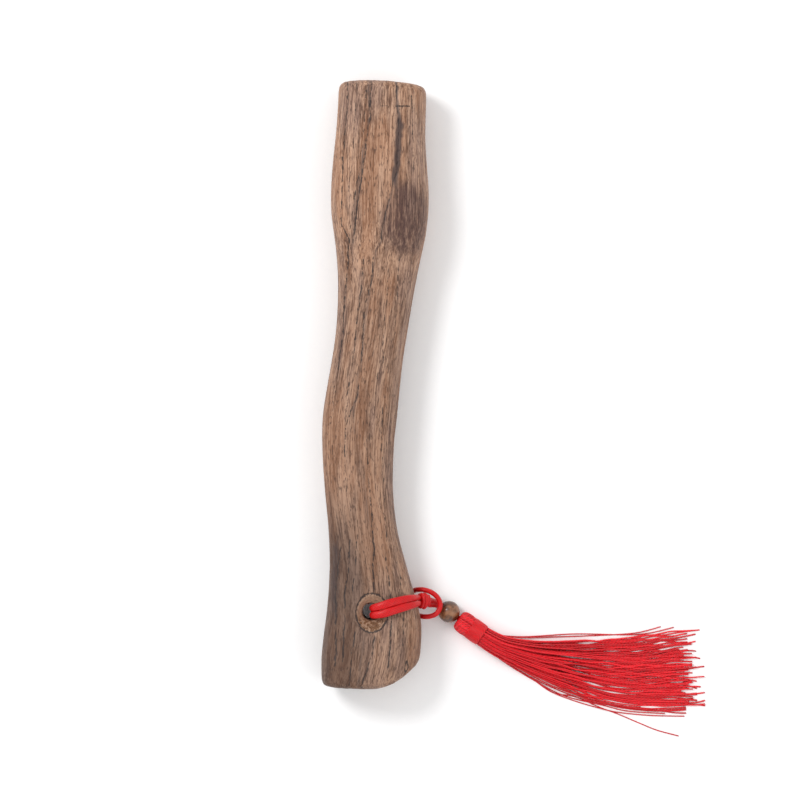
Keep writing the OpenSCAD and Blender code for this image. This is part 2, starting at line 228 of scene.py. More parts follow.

# %% [markdown]
# Where the two strands bend over the wood they are pulled flat and lie side by side as a band. In the
# knot they are squeezed, and beyond it they fill out again, until they share the bead's hole. A strand is
# told its width and depth by how far along it each ring is. The swing joint bends the pair just past the
# knot, but the strands are built where they lie and are given to no body.

# %% The two standing strands
# Share of the strand's length, then its width and depth, or its way out from its twin, in millimetres
STRAND_SECTION = np.array([
    (0.00, 2.2, 2.2), (0.12, 2.6, 2.2), (0.20, 3.3, 1.9), (0.32, 3.9, 1.5), (0.46, 3.7, 1.5),
    (0.58, 3.0, 1.7), (0.70, 1.9, 1.9), (0.76, 1.9, 1.9), (0.82, 2.6, 2.1), (0.92, 2.3, 2.1),
    (1.00, 1.3, 1.3)])
STRAND_APART = np.array([(0, 0), (0.2, 0.15), (0.32, 0.3), (0.48, 0.25), (0.62, 0)])
BESIDE_IN_BEAD = 0.62 * MM
TO_BEAD = (-4.6 * MM, 0.5 * MM)


def standing_strand(name, route, side, node):
    beside = np.cross(BEAD_WAY, (0, 0, 1)) * side
    route = np.vstack([route[:-1], [BEAD_AT + BEAD_WAY * d + beside * BESIDE_IN_BEAD for d in TO_BEAD]])
    line = smooth_line(route, 130)
    share = np.linspace(0, 1, len(line))
    line = line + np.outer(np.interp(share, *STRAND_APART.T) * MM, (0, -side, 0))
    width, depth = [np.interp(share, STRAND_SECTION[:, 0], column) * MM for column in STRAND_SECTION.T[1:]]
    tube = Tubes()
    tube.add(line, width, depth, sides=18, wide_way=(0, 1, 0))
    piece = tube.mesh(name)
    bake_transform(piece)
    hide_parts(node)
    print(name, round(length_of(line) / MM, 1), "mm")
    return piece


upper_strand = standing_strand("upper_strand", UPPER_STRAND, -1, "lanyard_front")
lower_strand = standing_strand("lower_strand", LOWER_STRAND, 1, "lanyard_tail")

# %% [markdown]
# The knot is the same cord wound round the pair. Real turns press into each other, so the coil's pitch is
# a little less than the cord's width, and one last turn crosses over the others and tucks away.

# %% The wrapped knot
knot_low, knot_high = [np.array(corner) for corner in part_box("lanyard_knot")]
KNOT_AT = (knot_low + knot_high) / 2
KNOT_WAY = unit(np.array([2.9, -0.8, -2.2]))
KNOT_TURNS = 2.35
KNOT_ACROSS, KNOT_THROUGH = 2.95 * MM, 2.1 * MM
KNOT_LENGTH = 4.1 * MM
KNOT_CORD = (2.35 * MM, 1.8 * MM)
KNOT_CLOSES = 0.16
# The last turn: millimetres along the knot, across it and through it
KNOT_CROSSING = np.array([(-1.7, 2.3, -1.2), (-1.2, 1.4, -2.9), (0.1, 0.1, -3.15), (1.3, -1.5, -2.9),
                          (1.9, -2.6, -1.0)])

across = unit(np.array([0, 1, 0]) - KNOT_WAY[1] * KNOT_WAY)
through = np.cross(KNOT_WAY, across)
phase = np.linspace(0, KNOT_TURNS * 2 * math.pi, 110)
along_knot = (phase / phase[-1] - 0.5) * KNOT_LENGTH
closing = 1 - KNOT_CLOSES * np.abs(2 * phase / phase[-1] - 1) ** 3
coil = (KNOT_AT + np.outer(along_knot, KNOT_WAY) + np.outer(KNOT_ACROSS * closing * np.cos(phase), across)
        + np.outer(KNOT_THROUGH * closing * np.sin(phase), through))
cross_line = smooth_line(KNOT_AT + KNOT_CROSSING * MM @ np.array([KNOT_WAY, across, through]), 40)
wraps = Tubes()
wraps.add(coil, *KNOT_CORD, sides=14)
wraps.add(cross_line, *KNOT_CORD, sides=14)
wrapped_knot = wraps.mesh("wrapped_knot")
hand_over(wrapped_knot, "baton", "lanyard_knot")

# %% [markdown]
# The wood is one solid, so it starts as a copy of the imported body. A voxel remesh turns its long
# triangles into an even skin of half-millimetre faces, which gives every groove enough points to exist
# as shape. Relaxing that skin takes the last facets out, but the cord hole keeps its edge.

# %% The wood's even skin
VOXEL = 0.5 * MM
RELAX_ROUNDS, RELAX_PULL = 36, 0.5
LAST_ROUNDS, LAST_PULL = 3, 0.4
# Millimetres from the hole's axis where the skin stays as it is, and where it may fully move
HOLE_KEEP = (9.5, 13.0)


def ramp(values, start, end):
    """0 at start and 1 at end, with a straight rise between them. The start may be the larger."""
    return np.clip((values - start) / (end - start), 0, 1)


def remeshed_copy(source, name, voxel):
    piece = bpy.data.objects.new(name, source.data.copy())
    bpy.context.scene.collection.objects.link(piece)
    remesh = piece.modifiers.new("even skin", "REMESH")
    remesh.mode, remesh.voxel_size = "VOXEL", voxel
    skin = bpy.data.meshes.new_from_object(piece.evaluated_get(bpy.context.evaluated_depsgraph_get()))
    piece.modifiers.clear()
    piece.data = skin
    skin.name = name
    skin.materials.clear()
    return piece


def positions(mesh):
    flat = np.empty(len(mesh.vertices) * 3, np.float32)
    mesh.vertices.foreach_get("co", flat)
    return flat.reshape(-1, 3).astype(float)


def relaxed(points, edges, rounds, strength):
    """Draws each point some of the way to the middle of its neighbours, round after round."""
    a, b = edges.T
    size = len(points)
    neighbours = np.bincount(a, minlength=size) + np.bincount(b, minlength=size)
    for _ in range(rounds):
        total = np.column_stack([np.bincount(a, column[b], size) + np.bincount(b, column[a], size)
                                 for column in points.T])
        points = points + (total / neighbours[:, None] - points) * strength[:, None]
    return points


carved_wood = remeshed_copy(frame["nodes"]["baton_body"], "carved_wood", VOXEL)
wood_mesh = carved_wood.data
edges = np.empty(len(wood_mesh.edges) * 2, np.int32)
wood_mesh.edges.foreach_get("vertices", edges)
edges = edges.reshape(-1, 2)
skin = positions(wood_mesh)
from_axis = np.hypot(skin[:, 0] - HOLE[0], skin[:, 1] - HOLE[1]) / MM
skin = relaxed(skin, edges, RELAX_ROUNDS, RELAX_PULL * ramp(from_axis, *HOLE_KEEP))
skin = relaxed(skin, edges, LAST_ROUNDS, np.full(len(skin), LAST_PULL))
print("wood skin:", len(skin), "points")

# %% [markdown]
# A handle like this is a split branch, so its grain follows its own bend. The middle of the wood is
# measured slice by slice, and the grain's coordinates are taken from that line instead of from straight X.
# The same coordinates, in millimetres, are stored on the mesh, so that the paint follows them too.

# %% The grain's own coordinates
GRAIN_SLICES, SLICE_REACH, EVENING_ROUNDS = 60, 5 * MM, 14

slices = np.linspace(skin[:, 1].min(), skin[:, 1].max(), GRAIN_SLICES)
middle_of = np.array([np.mean([skin[near, 0].min(), skin[near, 0].max()])
                      for near in (np.abs(skin[:, 1] - y) < SLICE_REACH for y in slices)])
for _ in range(EVENING_ROUNDS):
    middle_of[1:-1] = (middle_of[:-2] + 2 * middle_of[1:-1] + middle_of[2:]) / 4
grain = np.column_stack([skin[:, 0] - np.interp(skin[:, 1], slices, middle_of), skin[:, 1], skin[:, 2]]) / MM
X, Y, Z = (skin / MM).T
print("the wood's middle wanders by", round(np.ptp(middle_of) / MM, 1), "mm")

# %% [markdown]
# Carving needs noise as numbers. Blender gives them with mathutils.noise, but one point at a time, which is
# slow over this many points. So this is the same idea for whole arrays: a random value at each whole-number
# corner, blended between corners, and added again at twice the fineness. A small scale down the grain draws
# the noise out into fibres.

# %% Noise to carve with
def hashed(cells, seed):
    """A repeatable number from 0 to 1 for each whole-number cell."""
    h = (cells[:, 0] * 374761393 + cells[:, 1] * 668265263 + cells[:, 2] * 2147483647 + seed * 1274126177)
    h = ((h ^ (h >> 13)) * 1274126177) & 0xFFFFFFFF
    return ((h ^ (h >> 16)) & 0xFFFF) / 65535


def noise(points, scale, seed, octaves=3):
    """Smooth noise from -1 to 1, finer and weaker with each octave."""
    total, weight = np.zeros(len(points)), 0.0
    for octave in range(octaves):
        p = points * np.asarray(scale) * 2**octave
        cell = np.floor(p).astype(np.int64)
        f = p - cell
        f = f * f * (3 - 2 * f)
        value = np.zeros(len(points))
        for corner in np.ndindex(2, 2, 2):
            share = np.prod(np.where(corner, f, 1 - f), axis=1)
            value += share * hashed(cell + corner, seed + octave)
        total += (2 * value - 1) * 0.5**octave
        weight += 0.5**octave
    return total / weight


RIDGE_SCALE, FINE_SCALE, CHATTER_SCALE = (0.55, 0.018, 0.55), (1.3, 0.05, 1.3), (0.09, 0.03, 0.09)

ridges = noise(grain, RIDGE_SCALE, 3)
fine_ridges = noise(grain, FINE_SCALE, 11, 2)
chatter = noise(grain, CHATTER_SCALE, 23)
print("grain noise spans", ridges.min().round(2), "to", ridges.max().round(2))

# %% [markdown]
# Seasoned hardwood checks: it opens in long cracks that wander with the grain. Each one here is a few
# listed points of where it runs, in millimetres, with its depth and how dark it is. A crack is thinner
# than the skin's own faces, so its mask is a wide ramp up to its middle, and the finish cuts that ramp off
# near the top, which leaves a fine line. Dark mineral streaks are set the same way, but wide and soft.

# %% Where the cracks and streaks run
# Depth and darkness, then the line's points as (x, y)
CRACKS = {
    "left_edge": (0.40, 0.92, [(-12.9, 144), (-14.1, 120), (-15.1, 112), (-16.4, 76), (-12.3, 69),
                               (-12.9, 55), (-14.8, 40), (-15.1, 26), (-17.5, 8)]),
    "head_left": (0.30, 0.96, [(-1.8, 144), (-2.6, 127), (-4.7, 110), (-6.9, 95), (-9.7, 75), (-10.5, 68)]),
    "head_pair": (0.18, 0.86, [(-3.6, 144), (-5.0, 124), (-6.6, 108), (-9.2, 90), (-12.0, 74)]),
    "head_far_left": (0.14, 0.82, [(-8.6, 143), (-9.6, 126), (-10.4, 110), (-12.6, 92)]),
    "head_right": (0.12, 0.80, [(17.6, 138), (18.2, 118), (18.6, 102)]),
    "head_heart": (0.34, 0.86, [(10.5, 144), (10.4, 134), (11.5, 124), (11.0, 112), (10.2, 101), (7.4, 90),
                                (4.8, 79), (3.0, 69)]),
    "neck": (0.28, 0.88, [(-0.6, 60), (-1.8, 49), (-4.2, 39.5), (-5.7, 27), (-6.4, 8), (-8.5, -7),
                          (-11.7, -13), (-14.6, -23)]),
    "neck_left": (0.18, 0.88, [(-5.0, 62), (-6.6, 46), (-8.6, 30), (-10.6, 12)]),
    "neck_right": (0.14, 0.84, [(6.4, 56), (5.6, 40), (4.2, 22), (3.4, 6)]),
    "neck_far_right": (0.12, 0.82, [(11.8, 60), (10.6, 40), (8.8, 18)]),
    "grip_left": (0.14, 0.84, [(-12.0, 2), (-14.0, -16), (-14.6, -34), (-13.6, -52)]),
    "grip": (0.22, 0.90, [(-4.0, -26), (-3.2, -46), (-1.6, -60), (-0.8, -72)]),
    "grip_right": (0.14, 0.84, [(3.6, -8), (3.4, -30), (4.2, -52), (5.4, -74)]),
    "above_hole": (0.38, 0.96, [(-1.2, -70), (-0.2, -79), (-0.9, -90), (-0.6, -99)]),
    "below_hole": (0.44, 0.96, [(0.4, -117), (-1.2, -126), (-2.2, -131), (-4.9, -138), (-6.5, -145)]),
    "butt_left": (0.36, 0.98, [(-12.1, -74), (-12.7, -90), (-14.4, -100), (-14.4, -112), (-15.6, -131)]),
    "butt_far_left": (0.26, 0.94, [(-16.6, -78), (-18.2, -92), (-19.0, -104), (-18.6, -120), (-18.8, -134)]),
    "butt_inner": (0.20, 0.88, [(-8.2, -72), (-9.4, -86), (-10.4, -98)]),
    "butt_right": (0.26, 0.94, [(5.2, -80), (7.3, -98), (7.8, -112), (7.6, -123), (6.5, -136)]),
    "butt_far_right": (0.14, 0.84, [(12.2, -92), (13.6, -108), (13.2, -126)]),
    "butt_low": (0.20, 0.90, [(-9.8, -118), (-11.4, -134), (-12.2, -143)]),
}
BACK_CRACKS = {
    "back_long": (0.30, 0.96, [(2.0, 140), (0.6, 112), (-1.8, 84), (-3.2, 52), (-6.0, 20)]),
    "back_low": (0.30, 0.94, [(-6.0, -40), (-5.2, -66), (-8.6, -92), (-9.4, -122)]),
    "back_right": (0.20, 0.88, [(9.4, 60), (8.8, 24), (6.4, -12), (7.2, -48)]),
}
# Half width, darkness, then the line's points
STREAKS = {
    "head_middle": (0.8, 0.75, [(10.5, 144), (10.2, 136), (11.6, 128), (11.0, 119), (10.8, 110)]),
    "heart": (1.9, 1.0, [(11.6, 124), (11.4, 112), (10.9, 104), (9.6, 98)]),
    "heart_to_neck": (0.8, 0.55, [(9.3, 101), (7.4, 90), (4.8, 79), (3.0, 69), (0.2, 60), (-1.8, 48)]),
    "head_left_shade": (1.1, 0.5, [(-2.2, 144), (-3.6, 122), (-6.0, 104), (-9.6, 80), (-10.8, 66)]),
    "shoulder": (1.7, 0.5, [(-8.0, 92), (-9.6, 80), (-10.2, 70)]),
    "neck_shade": (1.1, 0.5, [(-2.4, 46), (-5.2, 28), (-7.2, 4), (-10.5, -14)]),
    "grip_shade": (2.4, 0.4, [(-9.5, -20), (-6.0, -44), (-3.0, -64)]),
    "butt_side": (2.1, 0.6, [(-18.0, -78), (-19.6, -96), (-18.6, -108)]),
    "butt_middle": (1.2, 0.45, [(-5.2, -122), (-6.4, -134), (-7.6, -144)]),
}
print(len(CRACKS) + len(BACK_CRACKS), "cracks,", len(STREAKS), "streaks")

# %% From lines to masks
# Half widths of a crack's wide ramp and of the groove under it, in millimetres
LINE_REACH, GROOVE_HALF = 1.5, 0.42
# How far a line sways to the sides, and how softly it ends
CRACK_SWAY, CRACK_FADE = 0.45, 6.0
STREAK_SWAY, STREAK_FADE = 0.9, 10.0
# How much a normal points up where a face starts to count as the front, and where it fully does
TURNS_UP = (0.05, 0.30)


def normals_of(mesh, points):
    mesh.vertices.foreach_set("co", points.ravel().astype(np.float32))
    mesh.update()
    flat = np.empty(len(points) * 3, np.float32)
    mesh.vertex_normals.foreach_get("vector", flat)
    return flat.reshape(-1, 3).astype(float)


def along_wood(lane, rate, seed):
    """Noise that changes only down the wood's length, and differs from lane to lane."""
    return noise(np.column_stack([Y * 0 + lane, Y, Y * 0]), (1, rate, 1), seed, 2)


def from_line(points, seed, sway, fade):
    """How far each point is to the side of a line down the wood, in millimetres, and a fade at its ends."""
    line = np.array(sorted(points, key=lambda p: p[1]), float)
    off = X - np.interp(Y, line[:, 1], line[:, 0]) - along_wood(seed, 0.22, seed) * sway
    low_y, high_y = line[0, 1], line[-1, 1]
    return off, ramp(Y, low_y - fade, low_y) * ramp(Y, high_y + fade, high_y)


facing = normals_of(wood_mesh, skin)
front, back = [ramp(side * facing[:, 2], *TURNS_UP) for side in (1, -1)]
crack, sunk, streak = np.zeros((3, len(skin)))
for face, lines in ((front, CRACKS), (back, BACK_CRACKS)):
    for seed, (depth, dark, points) in enumerate(lines.values()):
        off, ends = from_line(points, seed, CRACK_SWAY, CRACK_FADE)
        strength = (0.94 + 0.16 * along_wood(seed, 0.30, 60 + seed)) * ends * face
        crack = np.maximum(crack, ramp(np.abs(off), LINE_REACH, 0) * dark * strength)
        sunk = np.maximum(sunk, np.exp(-(off / GROOVE_HALF) ** 2) * depth * strength)
for seed, (half_width, dark, points) in enumerate(STREAKS.values()):
    off, ends = from_line(points, 30 + seed, STREAK_SWAY, STREAK_FADE)
    streak = np.maximum(streak, np.exp(-(off / half_width) ** 2) * dark * ends * front)
print("cracks reach", int((crack > 0.5).sum()), "points, streaks", int((streak > 0.5).sum()))

# %% [markdown]
# Painted shade darkens the right of the bulge, where its face tilts away, and below it the tool has left a
# shallow step down to the neck, painted lighter as a highlight. Small pin knots sit along the left of the
# grip, and one oval knot sits by the butt.
# A knot is measured across the surface that it lies on, so that it stays round where the wood turns away.

# %% Painted shade on the bulge, the step and knots
PATCH_AT, PATCH_SIZE = (15.4, 78.5), (12.0, 18.5)
STEP_Y, STEP_DEPTH = 58.5, 0.5
STEP_MIDDLE, STEP_REACH, STEP_LONG = 9, 15, 5.0
# Place and size of the pin knots, place and half sizes of the oval one, then each nick's two ends
PIN_KNOTS = [(-19.6, -2.5, 1.3), (-20.8, -9.2, 1.5), (-21.4, -16.6, 1.2), (-22.4, -22.4, 1.3),
             (2.2, 3.5, 1.4)]
PIN_HALF = (0.75, 1.3)
OVAL_KNOT = (15.0, -134.4, 1.0, 2.5)
# A knot's ring and eye as shares of its size, and how far off its surface it still reaches
RING_SOFT, EYE_SHARE, KNOT_REACH = 0.75, 0.7, 3
NICKS = [((3.4, 132.2), (5.6, 132.4)), ((9.8, 132.2), (16.4, 132.3))]

q = np.hypot((X - PATCH_AT[0]) / PATCH_SIZE[0], (Y - PATCH_AT[1]) / PATCH_SIZE[1])
ragged = 0.09 * noise(grain, (0.6, 0.10, 0.6), 41) + 0.12 * noise(grain, (0.12, 0.09, 0.12), 43)
# Painted shade over the right of the bulge, where its face tilts away
patch = ramp(q - ragged, 1.10, 0.76) * front
# The step is sunk into the shape, and its mask also paints it lighter as a painted highlight
across_step = ramp(np.abs(X - STEP_MIDDLE), STEP_REACH, 0) * front
step = STEP_DEPTH * across_step * np.exp(-((Y - STEP_Y) / STEP_LONG) ** 2)


def ring_mark(x, y, wide, tall, seed):
    """A small knot laid on the surface above (x, y): a dark ring round a raised eye."""
    faces_down = facing[:, 2] < TURNS_UP[0]
    at = np.argmin(np.hypot(X - x, Y - y) + 100 * faces_down)
    out = facing[at]
    up = unit(np.array([0, 1, 0]) - out[1] * out)
    off = np.column_stack([X - X[at], Y - Y[at], Z - Z[at]])
    q = np.hypot(off @ np.cross(up, out) / wide, off @ up / tall)
    q += 0.12 * noise(grain, (0.9, 0.9, 0.9), seed, 2)
    near = np.abs(off @ out) < KNOT_REACH
    return ramp(np.abs(q - 1), RING_SOFT, 0) * near, np.exp(-(q / EYE_SHARE) ** 2) * near


raised = np.zeros(len(skin))
for seed, (x, y, size) in enumerate(PIN_KNOTS):
    ring, eye = ring_mark(x, y, size * PIN_HALF[0], size * PIN_HALF[1], 70 + seed)
    arc = np.clip(0.9 + 0.9 * noise(grain, (0.35, 0.35, 0.35), 90 + seed, 2), 0, 1)
    crack = np.maximum(crack, ring * 0.94 * arc)
    sunk = np.maximum(sunk, ring * 0.16)
    raised += eye * 0.14
ring, eye = ring_mark(*OVAL_KNOT, 80)
crack = np.maximum(crack, ring * 1.05 + eye * 0.25)
sunk = np.maximum(sunk, ring * 0.18)
for (x0, y0), (x1, y1) in NICKS:
    t = ramp(X, x0, x1)
    off = np.hypot(X - (x0 + t * (x1 - x0)), Y - (y0 + t * (y1 - y0)))
    crack = np.maximum(crack, 0.95 * ramp(off, 1.2, 0) * front)
    sunk = np.maximum(sunk, 0.14 * np.exp(-((off / 0.28) ** 2)) * front)
print("patch covers", int((patch > 0.5).sum()), "points")

# %% [markdown]
# The drill's countersink was pared out by hand, so its rim is an oval, taller than wide, with a dark
# scored edge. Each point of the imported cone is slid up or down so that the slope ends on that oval, and
# the score is sunk along it. The uncut surface is found by fitting a curved sheet to the wood round it.

# %% The pared countersink
BORE_R = 4.0
RIM_OFFSET = (0.6, -0.4)
RIM_HALF, RIM_MEAN_R = (7.5, 9.25), 8.4
SINK_DEPTH = 3.7
FIT_RANGE = (10.2, 15.0)
SINK_REACH = 10.0
# Above this height the wood is its top; the rim's marks fade in over the next stretch
TOP_FROM, MARKS_FADE_IN = 25, (24, 27)
SCORE_DEPTH, SCORE_HALF, SCORE_RAMP = 0.45, 0.5, 1.7
TORN_DEPTH = 0.22

dx, dy = X - HOLE[0] / MM, Y - HOLE[1] / MM
from_axis = np.hypot(dx, dy)
is_top = facing[:, 2] > 0.25
fit = is_top & (from_axis > FIT_RANGE[0]) & (from_axis < FIT_RANGE[1]) & (Z > TOP_FROM)


def sheet_terms(x, y):
    return np.column_stack([np.ones_like(x), x, y, x * x, x * y, y * y])


sheet, *_ = np.linalg.lstsq(sheet_terms(dx[fit], dy[fit]), Z[fit], rcond=None)
uncut = sheet_terms(dx, dy) @ sheet
rim_x, rim_y = dx - RIM_OFFSET[0], dy - RIM_OFFSET[1]
rim_q = np.hypot(rim_x / RIM_HALF[0], rim_y / RIM_HALF[1]) + 0.055 * noise(grain, (0.35, 0.35, 0.35), 51, 2)
reach = np.maximum(from_axis / np.maximum(rim_q, 1e-3), BORE_R + 0.5)
in_sink = is_top & (from_axis > BORE_R + 0.1) & (from_axis < SINK_REACH) & (Z > TOP_FROM)
to_sheet = np.where(in_sink, uncut - SINK_DEPTH * ramp(from_axis, reach, BORE_R) - Z, 0.0)
print("countersink points:", int(in_sink.sum()))

# %% The rim's score, the torn bevel and painted shade in the bore
off_rim = (rim_q - 1) * RIM_MEAN_R
high_up = ramp(Z, *MARKS_FADE_IN)
rim_line = ramp(np.abs(off_rim), SCORE_RAMP, 0) * high_up * front
bevel = ramp(rim_q, 1.0, 0.94) * (from_axis < SINK_REACH) * high_up
torn = bevel * ramp(rim_y, 0.75, -4.25)
splinters = 0.5 + 0.5 * noise(grain, (0.8, 0.5, 0.8), 53, 2)
score = np.exp(-(off_rim / SCORE_HALF) ** 2) * front * (Z > MARKS_FADE_IN[0]) * SCORE_DEPTH
crack = np.maximum(crack * (1 - 0.8 * bevel),
                   rim_line * (0.98 + 0.14 * noise(grain, (0.5, 0.5, 0.5), 57, 2)))
sunk = np.maximum(sunk * (1 - bevel), score) + torn * TORN_DEPTH * splinters
# Painted shade: the cord's bore is darkened through the streak mask and the shade mask.
bore = ramp(from_axis, BORE_R + 0.6, BORE_R + 0.1)
print("bevel points:", int((bevel > 0.5).sum()))

# %% [markdown]
# All of it is added up as one height and pushed out along the skin's normals. The masks are kept as
# attributes on the mesh, and the wood's finish reads them.

# %% Carve the skin
# Heights and depths in millimetres
RIDGE_HEIGHT, FINE_HEIGHT, CHATTER_HEIGHT, STREAK_DEPTH = 0.13, 0.055, 0.16, 0.10
texture = RIDGE_HEIGHT * ridges + FINE_HEIGHT * fine_ridges + CHATTER_HEIGHT * chatter
calm_near_hole = np.maximum(ramp(from_axis, 3.5, 9.5), 0.1)
height = texture * calm_near_hole - sunk + raised - step - STREAK_DEPTH * streak
skin[:, 2] += to_sheet * MM
facing = normals_of(wood_mesh, skin)
skin = skin + facing * height[:, None] * MM
skin[:, 2] = np.maximum(skin[:, 2], 0.0)
normals_of(wood_mesh, skin)
print("height from", height.min().round(2), "to", height.max().round(2), "mm")

# %% Masks for the finish
# The wood is painted darker a little below the head, a little more towards the butt, and most at the left of
# the butt
darkening = 0.24 * ramp(Y, 75, 35) + 0.10 * ramp(Y, -50, -90) + 0.95 * ramp(X, 2, -18) * ramp(Y, -45, -90)
# The bore goes into both the streak mask and the shade mask, which paint it dark as painted shade.
masks = {"crack": crack, "streak": np.maximum(streak, bore), "patch": patch, "bevel": bevel, "torn": torn,
         "shade": darkening + bore, "step": step / STEP_DEPTH}
for name, values in masks.items():
    kept = wood_mesh.attributes.new(name, "FLOAT", "POINT")
    kept.data.foreach_set("value", np.clip(values, 0, 1).astype(np.float32))
kept = wood_mesh.attributes.new("grain", "FLOAT_VECTOR", "POINT")
kept.data.foreach_set("vector", grain.ravel().astype(np.float32))
wood_mesh.polygons.foreach_set("use_smooth", [True] * len(wood_mesh.polygons))
hand_over(carved_wood, "baton", "baton_body")
print("masks:", ", ".join(masks))

# %% [markdown]
# The bead is a turned and polished ball with a bored hole whose edges are eased. Spinning half of its
# section round the hole's axis gives exactly what a lathe does.

# %% The bead
BEAD_R = 5.2 * MM
BEAD_BORE_R = 1.72 * MM
BEAD_EASE = 0.5 * MM
EASE_BACK, EASE_OUT, BORE_SHORTER = 0.2 * MM, 0.12 * MM, 0.45 * MM
BEAD_STEPS, BEAD_AROUND = 40, 72


def frame_on(way):
    side = unit(np.cross(way, (0, 0, 1)))
    return side, np.cross(way, side)


def lathe(name, profile, at, way, around):
    """Spins a closed section of (distance along, radius) points round an axis."""
    side, up = frame_on(way)
    turn = np.arange(around) * 2 * math.pi / around
    out = np.cos(turn)[:, None] * side + np.sin(turn)[:, None] * up
    along, radius = profile.T[:, :, None, None]
    n = len(profile)
    faces = [(j * around + k, j * around + (k + 1) % around, ((j + 1) % n) * around + (k + 1) % around,
              ((j + 1) % n) * around + k) for j in range(n) for k in range(around)]
    mesh = bpy.data.meshes.new(name)
    mesh.from_pydata((at + along * way + radius * out[None]).reshape(-1, 3).tolist(), [], faces)
    return linked(name, mesh)


mouth = math.asin((BEAD_BORE_R + BEAD_EASE) / BEAD_R)
arc = np.linspace(mouth, math.pi - mouth, BEAD_STEPS)
ball = np.column_stack([-BEAD_R * np.cos(arc), BEAD_R * np.sin(arc)])
half_bore = BEAD_R * math.cos(mouth) - BORE_SHORTER
eased = [(half_bore + EASE_BACK, BEAD_BORE_R + EASE_OUT), (half_bore, BEAD_BORE_R), (0, BEAD_BORE_R),
         (-half_bore, BEAD_BORE_R), (-half_bore - EASE_BACK, BEAD_BORE_R + EASE_OUT)]
polished_bead = lathe("polished_bead", np.vstack([ball, eased]), BEAD_AT, BEAD_WAY, BEAD_AROUND)
hand_over(polished_bead, "bead", "bead")

# %% [markdown]
# A tassel's head is a skein folded in half over the cord. Every yarn comes up out of the middle, turns over
# the crown and runs down the outside to the binding, so the head is a ring of bent yarns. Thin thread is
# then wound over them, turn against turn.

# %% The folded head
LIFT_AXIS = unit(np.array(joints["tassel_lift"]["axis"]))
TASSEL_WAY = np.cross((0, 0, 1), LIFT_AXIS)
TASSEL_Z = 5.6 * MM
HEAD_FROM_BEAD = 5.9 * MM
HEAD_AT = np.array([BEAD_AT[0], BEAD_AT[1], TASSEL_Z]) + TASSEL_WAY * HEAD_FROM_BEAD
HEAD_LENGTH, BINDING_LENGTH = 6.6 * MM, 7.2 * MM
# Each layer's yarns, share of the full radius and yarn width in mm; the inner one folds over further in
HEAD_LAYERS, FOLD_DEEPER = ((34, 1.0, 1.0), (24, 0.80, 1.1)), 5.0
chance = np.random.default_rng(7)
head_side, head_up = frame_on(TASSEL_WAY)


def round_head(turn):
    return math.cos(turn) * head_side + math.sin(turn) * head_up


# Distance past the head's crown, then radius, of a yarn on its way over
FOLD = [(3.6, 1.9), (1.7, 1.75), (0.55, 2.2), (0.15, 3.1), (0.75, 4.15), (2.3, 4.75), (4.4, 4.85),
        (6.2, 4.6), (7.4, 4.45), (9.0, 4.4)]
head = Tubes()
for yarns, share, yarn_d in HEAD_LAYERS:
    for k in range(yarns):
        turn = (k + chance.uniform(-0.15, 0.15)) * 2 * math.pi / yarns
        swell = share * chance.uniform(0.96, 1.04)
        lean = chance.uniform(-0.07, 0.07)
        deeper = FOLD_DEEPER * (1 - share)
        route = [HEAD_AT + TASSEL_WAY * (along + deeper * (radius > 2)) * MM
                 + round_head(turn + lean * along / 6) * radius * swell * MM for along, radius in FOLD]
        head.add(smooth_line(route, 40), yarn_d * MM, sides=8, tint=chance.uniform(0.0, 0.75))
yarn_head = head.mesh("yarn_head")
hand_over(yarn_head, "tassel", "tassel_head")

# %% The wound binding
THREAD_D, THREAD_PITCH = 0.62 * MM, 0.58 * MM
# Radius, and how much less it is at the head's end and at the skirt's end
WOUND_R, EASE_AT_HEAD, EASE_AT_SKIRT = 5.18 * MM, 0.16 * MM, 0.34 * MM

turns = BINDING_LENGTH / THREAD_PITCH
phase = np.linspace(0, turns * 2 * math.pi, int(turns * 40))
wound_share = phase / phase[-1]
thread_r = WOUND_R - EASE_AT_HEAD * (1 - wound_share) ** 6 - EASE_AT_SKIRT * wound_share ** 8
wound = np.array([HEAD_AT + TASSEL_WAY * (HEAD_LENGTH + BINDING_LENGTH * share) + round_head(turn) * r
                  for turn, share, r in zip(phase, wound_share, thread_r)])
binding = Tubes()
binding.add(wound, THREAD_D, sides=6)
wound_binding = binding.mesh("wound_binding")
hand_over(wound_binding, "tassel", "tassel_binding")

# %% [markdown]
# Past the bead the cord enters the head and ends in a stopper knot, which the folded yarns hide. The tassel
# lifts about the bead, and a real cord then bends flat over the bead's edge. So this stretch follows the
# lanyard up to the bead's mouth and the tassel from its crown on, and turns smoothly between the two. All
# of that turn is in 0.6 mm of cord, so its rings stand closest together there.

# %% The cord's end, through the bead and into the head
BEND_OUT, BEND_LENGTH = 5.9 * MM, 0.6 * MM
BEND_FROM = BEAD_AT + BEAD_WAY * BEND_OUT
BEND_TO = BEND_FROM + unit(HEAD_AT + TASSEL_WAY * 3.0 * MM - BEND_FROM) * BEND_LENGTH
# Rings before the bend, in it and past it: from and to in millimetres, and how many
BEFORE_BEND, IN_BEND, PAST_BEND_FROM, PAST_BEND_RINGS = (0, 4.95, 16), (5.0, 5.8, 34), 5.95, 26
# Millimetres along the cord's end, then its width and depth there
TIE_SECTION = np.array([(0.0, 2.2, 2.2), (4.2, 2.2, 2.0), (4.9, 2.5, 1.35), (6.0, 2.5, 1.35), (6.8, 3.2, 3.2),
                        (8.0, 3.6, 3.6), (9.2, 3.0, 3.0), (10.0, 1.6, 1.6)])

